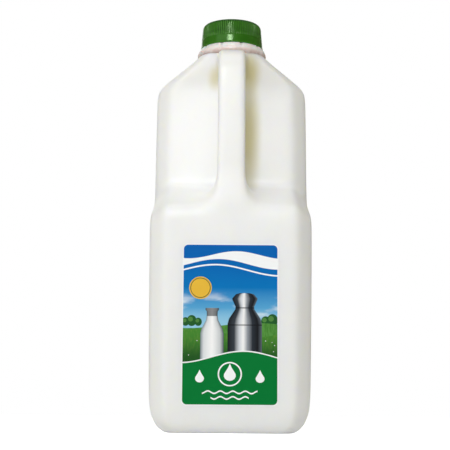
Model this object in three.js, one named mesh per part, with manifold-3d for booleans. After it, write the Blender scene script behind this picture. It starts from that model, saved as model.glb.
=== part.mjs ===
// A half-gallon plastic milk jug with a grip moulded into its front, a ribbed screw cap and a
// front label. Millimetres, +Z up. The jug stands on z = 0 with its neck on the Z axis, and its
// handle and label face -Y.

import * as THREE from "three";
import { mergeVertices } from "three/addons/utils/BufferGeometryUtils.js";
import Module from "manifold-3d";

// Driving sizes of the blow-moulded jug.
const FRONT = -52.5;
const BACK = 52.8;
const BASE_HALF_WIDTH = 47.5;
const WAIST_HALF_WIDTH = 48.7;
const GRIP_HALF_WIDTH = 48.1;
const SHOULDER_HALF_WIDTH = 47.7;
const WAIST_HEIGHT = 112;
const CORNER_CHAMFER = 9;
const CORNER_SOFTENING = 5;

// The base: a standing ring round a shallow push-up, and a tall soft heel.
const HEEL_RUN = 11.5;
const HEEL_RISE = 20;
const STANDING_RING_WIDTH = 9;
const PUSH_UP_RUN = 5;
const PUSH_UP_HEIGHT = 2.5;

// The set-back face behind the handle, and the ledge that leads back to it.
const GRIP_FACE = -13;
const LEDGE_FOOT = 122;
const LEDGE_TOP = 158;
const LEDGE_FRONT_PULL = 14;
const LEDGE_BACK_PULL = 12;

// The shoulder, from the grip's square section to the round neck.
const SHOULDER_START = 209;
const SHOULDER_CORNER = 216.6;
const SHOULDER_ROUNDING = 0.24;
const NECK_BASE_HEIGHT = 238.6;
const NECK_BASE_RADIUS = 21.2;

// The neck: a bead with shallow lugs on its sloping top, and the finish under the cap.
const BEAD_RADIUS = 22.1;
const BEAD_BOTTOM = 237.4;
const BEAD_WIDEST = 240;
const BEAD_TOP = 243.6;
const BEAD_TOP_RADIUS = 20.3;
const BEAD_ROUNDING = 0.7;
const NECK_ROOT_DOWN = 6;
const FINISH_RADIUS = 17.2;
const FINISH_TOP = 258.4;
const LUG_COUNT = 10;
const LUG_GAP_SHARE = 0.2;
const LUG_GAP_DEPTH = 0.5;

// The handle, flush with the front and rounded along its edges. It bends back to the neck over
// the finger gap, and its roots run on into the body.
const HANDLE_WIDTH = 16.6;
const HANDLE_DEPTH = 18.5;
const HANDLE_EDGE = 5.2;
const HANDLE_BEND_START = 214;
const HANDLE_BEND_REACH = 16;
const HANDLE_BEND_LIFT = 17;
const HANDLE_TOP = 235.4;
const HANDLE_ROOT_BACK = 30;
const HANDLE_ROOT_DOWN = 12;
const HANDLE_ROOT_OVERLAP = 2;
const GAP_BOTTOM = 141;
const GAP_FLOOR_SLOPE = 0.5;
const GAP_FLOOR_CORNER = 10;
const GAP_TOP = 221;
const GAP_TOP_CORNER = 17;
const FOOT_FLARE_RADIUS = 12;
const FOOT_FLARE_FADE = 8;

// The cap.
const CAP_BOTTOM = 244;
const CAP_HEIGHT = 16;
const CAP_RIM_RADIUS = 20.2;
const CAP_RIM_HEIGHT = 1.4;
const CAP_RIM_STEP = 0.3;
const CAP_TOP_RADIUS = 19.1;
const CAP_EDGE = 2.2;
const CAP_WALL = 1.5;
const CAP_SEGMENTS_INSIDE = 48;
const RIB_COUNT = 96;
const RIB_DEPTH = 0.4;
const RIB_BOTTOM = 249.6;

// The label on the front face.
const LABEL_WIDTH = 56.2;
const LABEL_BOTTOM = 15.9;
const LABEL_TOP = 110;
const LABEL_CORNER = 3.4;
const LABEL_THICKNESS = 0.3;

const wasm = await Module();
wasm.setup();

// A closed geometry as a solid that can be joined and cut.
function solid(geometry) {
  const bare = geometry.clone();
  bare.deleteAttribute("normal");
  bare.deleteAttribute("uv");
  const merged = mergeVertices(bare, 1e-4);
  const corners = merged.index.array;
  const kept = [];
  for (let i = 0; i < corners.length; i += 3) {
    const [a, b, c] = corners.slice(i, i + 3);
    if (a !== b && b !== c && c !== a) kept.push(a, b, c);
  }
  return new wasm.Manifold(
    new wasm.Mesh({
      numProp: 3,
      vertProperties: new Float32Array(merged.attributes.position.array),
      triVerts: new Uint32Array(kept),
    }),
  );
}

// A solid as a geometry again.
function geometryOf(manifold) {
  const mesh = manifold.getMesh();
  const geometry = new THREE.BufferGeometry();
  geometry.setAttribute("position", new THREE.BufferAttribute(mesh.vertProperties, 3));
  geometry.setIndex(new THREE.BufferAttribute(mesh.triVerts, 1));
  geometry.computeVertexNormals();
  return geometry;
}

// One softened chamfer, as distances from the sharp corner along its two sides.
function cornerTemplate(chamfer, softening) {
  const reach = chamfer + softening;
  const inset = softening * Math.SQRT1_2;
  const soften = new THREE.QuadraticBezierCurve(
    new THREE.Vector2(reach, 0),
    new THREE.Vector2(chamfer, 0),
    new THREE.Vector2(chamfer - inset, inset),
  );
  const first = soften.getPoints(3);
  const second = first.map((p) => new THREE.Vector2(p.y, p.x)).reverse();
  return [...first, ...second];
}

const SIDE_STEPS = 8;
const CORNER_POINTS = 8;
const RING_POINTS = 4 * (CORNER_POINTS + SIDE_STEPS - 1);

// A horizontal section: a rectangle with softened chamfers, anticlockwise from the middle of
// the front, always with the same number of points.
function squareRing({ z, halfWidth, front = FRONT, back = BACK, chamfer = CORNER_CHAMFER }) {
  const template = cornerTemplate(chamfer, CORNER_SOFTENING);
  const corners = [
    { at: [halfWidth, front], from: [-1, 0], to: [0, 1] },
    { at: [halfWidth, back], from: [0, -1], to: [-1, 0] },
    { at: [-halfWidth, back], from: [1, 0], to: [0, -1] },
    { at: [-halfWidth, front], from: [0, 1], to: [1, 0] },
  ].map(({ at, from, to }) =>
    template.map(
      (p) =>
        new THREE.Vector3(
          at[0] + from[0] * p.x + to[0] * p.y,
          at[1] + from[1] * p.x + to[1] * p.y,
          z,
        ),
    ),
  );
  const ring = [];
  corners.forEach((corner, i) => {
    const next = corners[(i + 1) % 4];
    ring.push(...corner);
    for (let step = 1; step < SIDE_STEPS; step++)
      ring.push(corner.at(-1).clone().lerp(next[0], step / SIDE_STEPS));
  });
  const frontMiddle = ring.length - SIDE_STEPS / 2;
  return [...ring.slice(frontMiddle), ...ring.slice(0, frontMiddle)];
}

// A round section whose points match a square ring's, one for one.
function roundRing(z, radius) {
  return Array.from({ length: RING_POINTS }, (_, i) => {
    const angle = -Math.PI / 2 + (2 * Math.PI * i) / RING_POINTS;
    return new THREE.Vector3(radius * Math.cos(angle), radius * Math.sin(angle), z);
  });
}

// A closed skin through a stack of rings. Each end is closed flat, by strips between the points
// that face each other across the ring.
function loft(rings) {
  const count = rings[0].length;
  const index = [];
  for (let level = 0; level + 1 < rings.length; level++)
    for (let i = 0; i < count; i++) {
      const a = level * count + i;
      const b = level * count + ((i + 1) % count);
      index.push(a, b, b + count, a, b + count, a + count);
    }
  const last = (rings.length - 1) * count;
  for (let i = 0; i < count / 2 - 1; i++) {
    const [a, b, c, d] = [i, i + 1, count - 2 - i, count - 1 - i];
    index.push(a, c, b, a, d, c);
    index.push(last + a, last + b, last + c, last + a, last + c, last + d);
  }
  return new THREE.BufferGeometry().setFromPoints(rings.flat()).setIndex(index);
}

// Half the jug's width at a height: it widens a little to the waist and narrows above it.
function halfWidthAt(z) {
  if (z < WAIST_HEIGHT)
    return THREE.MathUtils.mapLinear(z, 0, WAIST_HEIGHT, BASE_HALF_WIDTH, WAIST_HALF_WIDTH);
  if (z < LEDGE_TOP) {
    const share = THREE.MathUtils.smoothstep(z, WAIST_HEIGHT, LEDGE_TOP);
    return THREE.MathUtils.lerp(WAIST_HALF_WIDTH, GRIP_HALF_WIDTH, share);
  }
  return THREE.MathUtils.mapLinear(
    z, LEDGE_TOP, SHOULDER_START, GRIP_HALF_WIDTH, SHOULDER_HALF_WIDTH,
  );
}

// The push-up, the standing ring and the heel, from the middle of the base outwards.
function baseRings() {
  const inset = (run, z) =>
    squareRing({ z, halfWidth: halfWidthAt(z) - run, front: FRONT + run, back: BACK - run });
  const ringInner = HEEL_RUN + STANDING_RING_WIDTH;
  const rings = [inset(ringInner + PUSH_UP_RUN, PUSH_UP_HEIGHT), inset(ringInner, 0)];
  const steps = 8;
  for (let i = 0; i <= steps; i++) {
    const turn = (Math.PI / 2) * (i / steps);
    rings.push(inset(HEEL_RUN * (1 - Math.sin(turn)), HEEL_RISE * (1 - Math.cos(turn))));
  }
  return rings;
}

// The ledge in the jug's middle plane, as points of (depth, height) from the front face up and
// back to the grip face.
const LEDGE_PROFILE = new THREE.CubicBezierCurve(
  new THREE.Vector2(FRONT, LEDGE_FOOT),
  new THREE.Vector2(FRONT, LEDGE_FOOT + LEDGE_FRONT_PULL),
  new THREE.Vector2(GRIP_FACE, LEDGE_TOP - LEDGE_BACK_PULL),
  new THREE.Vector2(GRIP_FACE, LEDGE_TOP),
).getPoints(14);

// The plain lower wall, and the ledge where the front steps back behind the handle.
function ledgeRings() {
  const waist = squareRing({ z: WAIST_HEIGHT, halfWidth: halfWidthAt(WAIST_HEIGHT) });
  const ledge = LEDGE_PROFILE.map((p) =>
    squareRing({ z: p.y, halfWidth: halfWidthAt(p.y), front: p.x }),
  );
  return [waist, ...ledge];
}

// The shoulder: each point of the square section rounds over and runs straight to the neck.
function shoulderRings() {
  const section = { halfWidth: SHOULDER_HALF_WIDTH, front: GRIP_FACE };
  const start = squareRing({ ...section, z: SHOULDER_START });
  const corner = squareRing({ ...section, z: SHOULDER_CORNER });
  const neck = roundRing(NECK_BASE_HEIGHT, NECK_BASE_RADIUS);
  const slope = corner.map((p, i) => p.clone().lerp(neck[i], SHOULDER_ROUNDING));
  const rounded = start.map((p, i) =>
    new THREE.QuadraticBezierCurve3(p, corner[i], slope[i]).getPoints(6),
  );
  const rings = rounded[0].map((_, step) => rounded.map((points) => points[step]));
  const halfway = slope.map((p, i) => p.clone().lerp(neck[i], 0.5));
  return [...rings, halfway, neck];
}

// A solid of revolution about Z through (radius, height) points that start and end on the axis.
function turned(profile, segments) {
  const points = profile.map(([radius, height]) => new THREE.Vector2(radius, height));
  return new THREE.LatheGeometry(points, segments).rotateX(Math.PI / 2);
}

// Cuts into a turned piece: depth(share of the turn, height, radius) is taken off the radius.
function carved(geometry, depth) {
  const position = geometry.attributes.position;
  for (let i = 0; i < position.count; i++) {
    const [x, y, z] = [position.getX(i), position.getY(i), position.getZ(i)];
    const radius = Math.hypot(x, y);
    if (radius === 0) continue;
    const share = (Math.atan2(y, x) / (2 * Math.PI) + 1.25) % 1;
    const kept = (radius - depth(share, z, radius)) / radius;
    position.setXY(i, x * kept, y * kept);
  }
  return geometry;
}

// The neck bead with its ring of lugs, and the plain finish that the cap screws onto.
function neck() {
  const profile = [
    [0, NECK_BASE_HEIGHT - NECK_ROOT_DOWN],
    [FINISH_RADIUS + BEAD_ROUNDING, NECK_BASE_HEIGHT - NECK_ROOT_DOWN],
    [NECK_BASE_RADIUS - BEAD_ROUNDING / 2, BEAD_BOTTOM],
    [BEAD_RADIUS - BEAD_ROUNDING, BEAD_BOTTOM + BEAD_ROUNDING],
    [BEAD_RADIUS, BEAD_WIDEST],
    [BEAD_RADIUS - BEAD_ROUNDING / 2, BEAD_WIDEST + BEAD_ROUNDING],
    [BEAD_TOP_RADIUS + BEAD_ROUNDING, BEAD_TOP - BEAD_ROUNDING],
    [BEAD_TOP_RADIUS, BEAD_TOP],
    [FINISH_RADIUS, BEAD_TOP],
    [FINISH_RADIUS, FINISH_TOP],
    [0, FINISH_TOP],
  ];
  const lugs = (share, z, radius) => {
    const onSlope = z > BEAD_WIDEST + BEAD_ROUNDING / 2 && radius > BEAD_TOP_RADIUS - BEAD_ROUNDING;
    const fromLug = Math.abs(((share * LUG_COUNT + 0.5) % 1) - 0.5) * 2;
    return onSlope && fromLug > 1 - LUG_GAP_SHARE ? LUG_GAP_DEPTH : 0;
  };
  return carved(turned(profile, RING_POINTS), lugs);
}

// The finger gap, as a hole in the handle's plate. It runs a little into the body behind it.
function fingerGap() {
  const front = FRONT + HANDLE_DEPTH;
  const back = GRIP_FACE + 4;
  const floor = (y) => GAP_BOTTOM + GAP_FLOOR_SLOPE * (y - front);
  const floorCorner = front + GAP_FLOOR_CORNER;
  const gap = new THREE.Path();
  gap.moveTo(front, floor(front) + GAP_FLOOR_CORNER);
  gap.quadraticCurveTo(front, floor(front), floorCorner, floor(floorCorner));
  gap.lineTo(back, floor(back));
  gap.lineTo(back, GAP_TOP);
  gap.lineTo(front + GAP_TOP_CORNER, GAP_TOP);
  gap.quadraticCurveTo(front, GAP_TOP, front, GAP_TOP - GAP_TOP_CORNER);
  gap.closePath();
  return gap;
}

// The handle as a plate in the jug's middle plane, rounded over on both sides. Its outline is
// drawn as (depth, height).
function handlePlate() {
  const rootBack = GRIP_FACE + HANDLE_ROOT_BACK;
  const rootBottom = LEDGE_FOOT - HANDLE_ROOT_DOWN;
  const neckFront = -NECK_BASE_RADIUS;
  const outline = new THREE.Shape();
  outline.moveTo(FRONT, rootBottom);
  outline.lineTo(rootBack, rootBottom);
  outline.lineTo(rootBack, HANDLE_TOP);
  outline.lineTo(neckFront - HANDLE_ROOT_OVERLAP, HANDLE_TOP);
  outline.bezierCurveTo(
    FRONT + HANDLE_BEND_REACH, HANDLE_TOP - HANDLE_ROOT_OVERLAP,
    FRONT, HANDLE_BEND_START + HANDLE_BEND_LIFT,
    FRONT, HANDLE_BEND_START,
  );
  outline.closePath();
  outline.holes.push(fingerGap());

  const plate = new THREE.ExtrudeGeometry(outline, {
    depth: HANDLE_WIDTH - 2 * HANDLE_EDGE,
    bevelThickness: HANDLE_EDGE,
    bevelSize: HANDLE_EDGE,
    bevelOffset: -HANDLE_EDGE,
    bevelSegments: 4,
    curveSegments: 8,
  });
  plate.translate(0, 0, HANDLE_EDGE - HANDLE_WIDTH / 2);
  return plate.applyMatrix4(new THREE.Matrix4().set(0, 0, 1, 0, 1, 0, 0, 0, 0, 1, 0, 0, 0, 0, 0, 1));
}

// The foot of the handle: the ledge's own profile again, lifted in a quarter round up the
// handle's sides, and fading out under the finger gap.
function footFlare() {
  const inner = HANDLE_WIDTH / 2 - 0.5;
  const steps = 8;
  const side = Array.from({ length: steps + 1 }, (_, i) => {
    const turn = (Math.PI / 2) * (i / steps);
    return {
      x: inner + FOOT_FLARE_RADIUS * (1 - Math.cos(turn)),
      lift: FOOT_FLARE_RADIUS * (1 - Math.sin(turn)),
    };
  });
  const across = [...side.map(({ x, lift }) => ({ x: -x, lift })).reverse(), ...side];
  const handleBack = FRONT + HANDLE_DEPTH;
  const rings = LEDGE_PROFILE.filter((p) => p.x < handleBack + 3).map((p) => {
    const fade = THREE.MathUtils.smoothstep(-p.x, -handleBack, -handleBack + FOOT_FLARE_FADE);
    const top = across.map(({ x, lift }) => new THREE.Vector3(x, p.x, p.y + lift * fade));
    const below = across.map(({ x }) => new THREE.Vector3(x, p.x, p.y - HANDLE_ROOT_DOWN));
    return [...below, ...top.reverse()];
  });
  return loft(rings.reverse());
}

function jugGeometry() {
  const shell = solid(loft([...baseRings(), ...ledgeRings(), ...shoulderRings()]));
  return geometryOf(
    shell.add(solid(neck())).add(solid(handlePlate())).add(solid(footFlare())),
  );
}

// The cap: a ribbed skirt over a plain rim, hollow where it fits over the neck's finish.
function capGeometry() {
  const top = CAP_BOTTOM + CAP_HEIGHT;
  const radiusAt = (z) =>
    THREE.MathUtils.mapLinear(z, CAP_BOTTOM, top, CAP_RIM_RADIUS, CAP_TOP_RADIUS);
  const rimTop = CAP_BOTTOM + CAP_RIM_HEIGHT;
  const ribTop = top - CAP_EDGE;
  const profile = [
    [0, CAP_BOTTOM],
    [CAP_RIM_RADIUS - CAP_RIM_STEP, CAP_BOTTOM],
    [CAP_RIM_RADIUS, CAP_BOTTOM + CAP_RIM_STEP],
    [CAP_RIM_RADIUS, rimTop],
    [radiusAt(rimTop) - CAP_RIM_STEP, rimTop + CAP_RIM_STEP],
    [radiusAt(RIB_BOTTOM) - CAP_RIM_STEP, RIB_BOTTOM - CAP_RIM_STEP],
    [radiusAt(RIB_BOTTOM), RIB_BOTTOM],
    [radiusAt(ribTop), ribTop],
    [radiusAt(top) - 0.4 * CAP_EDGE, top - 0.4 * CAP_EDGE],
    [radiusAt(top) - CAP_EDGE, top],
    [0, top],
  ];
  const ribs = (share, z, radius) => {
    const onSkirt = z > RIB_BOTTOM - CAP_RIM_STEP / 2 && radius > CAP_TOP_RADIUS - CAP_EDGE / 2;
    return onSkirt && Math.round(share * RIB_COUNT * 2) % 2 === 1 ? RIB_DEPTH : 0;
  };
  const outside = carved(turned(profile, RIB_COUNT * 2), ribs);
  const cavity = turned(
    [
      [0, CAP_BOTTOM - CAP_WALL],
      [CAP_RIM_RADIUS - CAP_WALL, CAP_BOTTOM - CAP_WALL],
      [CAP_TOP_RADIUS - CAP_WALL, top - CAP_WALL],
      [0, top - CAP_WALL],
    ],
    CAP_SEGMENTS_INSIDE,
  );
  return geometryOf(solid(outside).subtract(solid(cavity)));
}

// The label: a thin sheet with rounded corners, flat against the front face.
function labelGeometry() {
  const half = LABEL_WIDTH / 2;
  const r = LABEL_CORNER;
  const shape = new THREE.Shape();
  shape.moveTo(-half + r, LABEL_BOTTOM);
  shape.lineTo(half - r, LABEL_BOTTOM);
  shape.absarc(half - r, LABEL_BOTTOM + r, r, -Math.PI / 2, 0);
  shape.lineTo(half, LABEL_TOP - r);
  shape.absarc(half - r, LABEL_TOP - r, r, 0, Math.PI / 2);
  shape.lineTo(-half + r, LABEL_TOP);
  shape.absarc(-half + r, LABEL_TOP - r, r, Math.PI / 2, Math.PI);
  shape.lineTo(-half, LABEL_BOTTOM + r);
  shape.absarc(-half + r, LABEL_BOTTOM + r, r, Math.PI, 1.5 * Math.PI);
  const sheet = new THREE.ExtrudeGeometry(shape, {
    depth: LABEL_THICKNESS,
    bevelEnabled: false,
    curveSegments: 6,
  });
  return sheet.rotateX(Math.PI / 2).translate(0, FRONT, 0);
}

// A named piece with its own plain material.
function piece(name, geometry, color, roughness) {
  const material = new THREE.MeshStandardMaterial({ color, roughness, metalness: 0 });
  const mesh = new THREE.Mesh(geometry, material);
  mesh.name = name;
  return mesh;
}

const group = new THREE.Group();
group.add(
  piece("jug", jugGeometry(), 0xf0f0ec, 0.45),
  piece("cap", capGeometry(), 0x2f6a1c, 0.4),
  piece("label", labelGeometry(), 0x1173b8, 0.5),
);

export default group;
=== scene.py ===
"""A half-gallon plastic milk jug: a translucent white jug full of milk, the bead round its neck,
a green ribbed cap and a printed label. Sizes are in millimetres, and MM turns them into metres."""

import math

import bmesh
import bpy
from bpy.props import FloatProperty, FloatVectorProperty, IntProperty, PointerProperty
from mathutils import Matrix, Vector


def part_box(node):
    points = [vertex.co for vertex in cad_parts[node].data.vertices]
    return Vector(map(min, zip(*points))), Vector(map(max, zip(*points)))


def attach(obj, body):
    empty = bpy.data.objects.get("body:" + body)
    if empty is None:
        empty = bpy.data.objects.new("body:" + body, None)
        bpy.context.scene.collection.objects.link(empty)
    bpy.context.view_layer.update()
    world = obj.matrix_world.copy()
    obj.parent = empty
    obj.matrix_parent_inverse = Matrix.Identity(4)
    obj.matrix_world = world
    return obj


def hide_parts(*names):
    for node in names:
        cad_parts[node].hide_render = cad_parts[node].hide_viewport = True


bl_info = {
    "name": "Milk Jug",
    "version": (1, 0, 0),
    "blender": (4, 5, 0),
    "location": "3D View > Sidebar > Milk Jug",
    "description": "Models a half-gallon milk jug, its cap and its label, and a stage for it",
    "category": "Add Mesh",
}

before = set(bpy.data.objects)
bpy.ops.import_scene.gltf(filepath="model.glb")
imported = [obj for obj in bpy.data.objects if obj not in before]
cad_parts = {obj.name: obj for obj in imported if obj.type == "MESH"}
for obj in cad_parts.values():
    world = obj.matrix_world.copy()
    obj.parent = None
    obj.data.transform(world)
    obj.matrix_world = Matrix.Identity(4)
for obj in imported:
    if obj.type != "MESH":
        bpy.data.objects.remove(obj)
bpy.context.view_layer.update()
JUG_LOW, JUG_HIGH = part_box("jug")
CAP_LOW, CAP_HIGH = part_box("cap")
LABEL_LOW, LABEL_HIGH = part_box("label")

MM = 0.001
# Two heights or places this near each other, in millimetres, count as the same.
TOUCH = 0.2

# The jug's outer faces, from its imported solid.
FRONT = JUG_LOW.y / MM
BACK = JUG_HIGH.y / MM
HALF_WIDTH = JUG_HIGH.x / MM

# Corners: a 45 degree chamfer, and the run over which its edges are softened.
CHAMFER = 9
SOFTENING = 5
CORNER_PULL = CHAMFER / 2

# The heel, as (height, inset of the section) going up from the floor, and the base inside it, as
# (height, inset) going in from the standing ring to the push-up.
HEEL = ((0, 9.2), (4, 3.7), (12, 0.8), (22, 0))
BASE = ((0, 13), (0, 18), (2.5, 23), (2.5, 28))

# The set-back grip face and the ledge that climbs back to it, as
# (depth, height of the lower loop, height of the upper loop, height of the ledge).
GRIP_FACE = -13
HANDLE_BACK = FRONT + 18.5
LEDGE = (
    (FRONT, 110, 121, 133),
    (FRONT + CHAMFER, 118, 128, 138),
    (FRONT + CHAMFER + SOFTENING, 121, 131, 140.5),
    (HANDLE_BACK, 123, 133, 142.5),
    (-20.5, 128, 138, 148.5),
    (GRIP_FACE, 131, 141, 151.5),
    (GRIP_FACE + CHAMFER, 133, 143, 153),
    (GRIP_FACE + CHAMFER + SOFTENING, 134, 144, 154),
    (20, 134, 144, 154),
    (BACK - CHAMFER - SOFTENING, 134, 144, 154),
    (BACK - CHAMFER, 134, 144, 154),
    (BACK, 134, 144, 154),
)
LOWER_LOOP, UPPER_LOOP, BLOCK_TOP = LEDGE[0][1:]
GRIP_FOOT = LEDGE[5][3]
WALL_LEVELS = (45, 80)

# How far the corner points sink on the ledge, over the front and at the grip's foot.
LEDGE_EDGE_DROP = 6.5
FRONT_EDGE_DROP = 5
GRIP_FOOT_DROP = 3

# The grip and the shoulder. Each shoulder ring is (height, share of the way to the neck).
GRIP_LEVELS = (161, 185, 209)
SHOULDER_RINGS = ((216.4, 0.02), (222, 0.26), (227, 0.49), (232, 0.72), (236, 0.89), (238.6, 1))
NECK_RADIUS = 21.2
FINISH_RINGS = ((239.4, 20.4), (241, 18), (254, 18))

# The widths of the walls, as (height, half width). Points further out than WALL_FROM follow them.
WALL_FROM = 25
WIDTHS = ((0, 47.5), (22, 47.55), (45, 47.85), (80, 48.35), (112, 48.7), (152, 48.2), (209, 47.75))

# The handle's columns, and how far round the neck, in degrees from the front, each point of the
# grip's section goes.
HANDLE_HALF = 8.3
HANDLE_MIDDLE = 3
COLUMNS = (HANDLE_MIDDLE, HANDLE_HALF, 20, HALF_WIDTH - CHAMFER - SOFTENING, HALF_WIDTH - CHAMFER)
NECK_TURNS = (8.1, 23, 30, 36.5, 42, 48, 57, 68, 90, 112, 123, 132, 138, 145, 157, 168, 176)

# Sections of the handle, each as ((depth, height) of its outer side, the same of its inner side). A
# section's rows lie at shares of the way between the two. The hole in the shoulder that the handle
# is joined to lies between two heights, no further forward than HOLE_FRONT.
HANDLE_SECTIONS = (
    ((FRONT, 144), (HANDLE_BACK + 1, 152)),
    ((FRONT, 162), (HANDLE_BACK, 166)),
    ((FRONT, 184), (HANDLE_BACK, 183)),
    ((FRONT, 205), (HANDLE_BACK, 197)),
    ((FRONT, 221), (HANDLE_BACK, 208)),
    ((FRONT + 6.5, 231), (HANDLE_BACK + 5, 217)),
    ((FRONT + 18.5, 234.4), (HANDLE_BACK + 11.5, 221)),
)
SECTION_ROWS = (0, 0.3, 0.72, 1)
SECTION_POINTS = 4
HANDLE_HOLE = (222, 236)
HOLE_FRONT = -25
FOOT_FLARE = 4.5
FOOT_LIFT = 3.2

# The bead round the neck, as (radius, height) from its tucked underside up and over.
BEAD = (
    (19, 236.6), (20.9, 236.9), (21.7, 237.5), (22.05, 238.6), (22.1, 240), (21.9, 241),
    (21.3, 242.2), (20.5, 243.6), (20.1, 243.95), (18.3, 244),
)
LUG_COUNT = 10
POINTS_PER_LUG = 24
LUG_GAP_SHARE = 0.16
LUG_GAP_DEPTH = 0.8
BEAD_LUGS_FROM = 6

# The cap, as (radius, height): up the outside from its hollow, and over the top.
CAP_BASE = CAP_LOW.z / MM
CAP_TOP = CAP_HIGH.z / MM
CAP_CEILING = (18.2, CAP_TOP - 3)
CAP_SKIRT = (
    (18.2, CAP_BASE + 0.5), (18.5, CAP_BASE), (19.95, CAP_BASE), (20.14, CAP_BASE + 0.15),
    (20.2, CAP_BASE + 0.4), (20.18, CAP_BASE + 0.85), (19.98, CAP_BASE + 1.1),
    (19.95, CAP_BASE + 1.35), (19.68, CAP_BASE + 5), (19.66, CAP_BASE + 5.2), (19.58, CAP_BASE + 5.5),
)
CAP_RIBS = ((19.57, CAP_BASE + 6), (19.36, CAP_BASE + 8), (19.28, CAP_BASE + 8.5), (18.95, CAP_TOP - 2.6))
CAP_EDGE = (
    (18.85, CAP_TOP - 2), (18.62, CAP_TOP - 1.3), (18.2, CAP_TOP - 0.65), (17.6, CAP_TOP - 0.15),
    (17, CAP_TOP), (16.2, CAP_TOP), (15.8, CAP_TOP - 0.1), (15.4, CAP_TOP - 0.3), (10, CAP_TOP - 0.35),
)
POINTS_PER_RIB = 4
RIB_GAP_SHARE = 0.25

# The line that the tops of the ribs follow, as (radius at the cap's foot, what it loses for each
# millimetre up), and how far from it a groove's dull flank, darkened by painted shade, ends and begins.
# Then the heights over which the rim's painted highlight ends and the ribs begin.
CAP_TAPER = (20.1, 0.0865)
FLANK = (-0.17, -0.03)
RIM_FADE = (CAP_BASE + 0.9, CAP_BASE + 1.4)
RIBS_FADE = (CAP_BASE + 5.7, CAP_BASE + 6.1)

# Where the jug's tints fade in: the painted shade that darkens and warms the shoulder between two
# heights, and the front and what lies behind the handle between two depths.
SHOULDER_FADE = (206, 222)
FRONT_FADE = (-4, -12)
BEHIND_HANDLE_FADE = (-37, -31)

# Patches of the front, as ((across, height), half width, half height, strength): painted shade in the
# pockets beside the handle's top and for the handle's shadow on the grip's face, and painted light,
# whiter, on the ledge and the grip's face.
PAINTED_SHADE_PATCHES = (
    ((-10.5, 222), 5.5, 9, 0.5),
    ((11.5, 226), 8, 14, 0.72),
    ((11, 186), 8.5, 44, 0.72),
)
PAINTED_LIGHT_PATCHES = (
    ((-24, 180), 22, 38, 0.75),
    ((27, 182), 17, 34, 1),
    ((0, 145), 50, 13, 1),
)

# The label: rows and columns of its sheet, and the thickness of its film. Its print is in
# millimetres across from the jug's middle and up from the floor.
LABEL_ROWS = 24
LABEL_FILM = 0.15 * MM
WHITE_INK = (0.97, 0.98, 0.985)
INK_EDGE = 0.16
LABEL_BORDER = 0.6
HORIZON = 62
CLOUDS_TOP = 84
CLOUDS_FADE = 12
SUN = (-17.5, 84)
SUN_RADIUS = 5.5
SUN_RINGS = (1.1, 0.4)
TREES = ((-26, 2.2), (-22.4, 2.8), (-18.6, 2.1), (20.6, 2.6), (24.6, 3.2))
CHURN = (8.5, 40)
CHURN_HOOPS = (3.2, 22.4, 32.4)
BOTTLE = (-10.5, 41)
DROP_OUTLINE = (
    (-1, 0), (-0.93, 0.37), (-0.7, 0.71), (-0.35, 0.88), (0, 0.86), (0.4, 0.62), (0.9, 0.3), (1.5, 0.02),
)
DROP_RING = (0, 34)
DROP_RING_RADIUS = 6.6
DROPS = ((DROP_RING, 3.9), ((-17.5, 32), 2.9), ((17.5, 32), 2.9))
RIPPLES = ((23.6, 16), (20.4, 11))

# Wavy lines across the print, as (height, rise, length of a wave, shift of the wave).
RIBBON_TOP = (103.5, 2.2, 56, 1.2)
RIBBON_FOOT = (98, 3, 70, 2.2)
THIN_RIBBON = (94.5, 3.2, 76, 2.3)
FAR_HILL = (HORIZON, 1.6, 83, 0.4)
NEAR_HILL = (HORIZON - 4.5, 2.4, 64, 3.4)
PANEL_EDGE = (43.5, 3.4, 74, 0.9)

# The stage: the colours of its lights and of the air round the jug, the point the lights aim at in
# metres, and the camera's place in millimetres, its pitch and roll in degrees, and its lens.
LIGHT_COLOUR = (0.94, 0.962, 1)
AIR_COLOUR = (0.16, 0.143, 0.09, 1)
LIGHT_TARGET = (0, 0, 0.15)
CAMERA_PLACE = (-2.6, -737, 12)
CAMERA_PITCH = 9.07
CAMERA_ROLL = -0.45
CAMERA_LENS = 94.03
CAMERA_SENSOR = 36


def select_all(action):
    bpy.ops.mesh.select_all(action=action)


def choose(piece, kind, test):
    """Selects the points, edges or faces of a piece being edited whose place passes a test."""
    bpy.ops.mesh.select_mode(type=kind)
    select_all("DESELECT")
    mesh = bmesh.from_edit_mesh(piece.data)
    if kind == "VERT":
        for point in mesh.verts:
            point.select_set(test(point.co / MM))
    elif kind == "EDGE":
        for edge in mesh.edges:
            edge.select_set(all(test(end.co / MM) for end in edge.verts))
    else:
        for face in mesh.faces:
            face.select_set(test(face.calc_center_median() / MM))
    mesh.select_flush_mode()
    bmesh.update_edit_mesh(piece.data)


def choose_points(piece, indexes):
    """Selects points of a piece being edited by their numbers."""
    bpy.ops.mesh.select_mode(type="VERT")
    select_all("DESELECT")
    mesh = bmesh.from_edit_mesh(piece.data)
    mesh.verts.ensure_lookup_table()
    for index in indexes:
        mesh.verts[index].select_set(True)
    mesh.select_flush_mode()
    bmesh.update_edit_mesh(piece.data)


def points_of(piece, test=None):
    """Numbers and places of a piece's points that pass a test, or of its selected points."""
    mesh = bmesh.from_edit_mesh(piece.data)
    return [(v.index, v.co / MM) for v in mesh.verts if (test(v.co / MM) if test else v.select)]


def near(a, b):
    return abs(a - b) < TOUCH


def move(x=0, y=0, z=0):
    bpy.ops.transform.translate(value=(x * MM, y * MM, z * MM))


def scale(x, y, z, centre=(0, 0, 0)):
    bpy.ops.transform.resize(value=(x, y, z), center_override=[c * MM for c in centre])


def cut(place, normal):
    select_all("SELECT")
    bpy.ops.mesh.bisect(plane_co=[c * MM for c in place], plane_no=normal)


def extrude(z=0):
    bpy.ops.mesh.extrude_region_move(TRANSFORM_OT_translate={"value": (0, 0, z * MM)})


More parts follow.
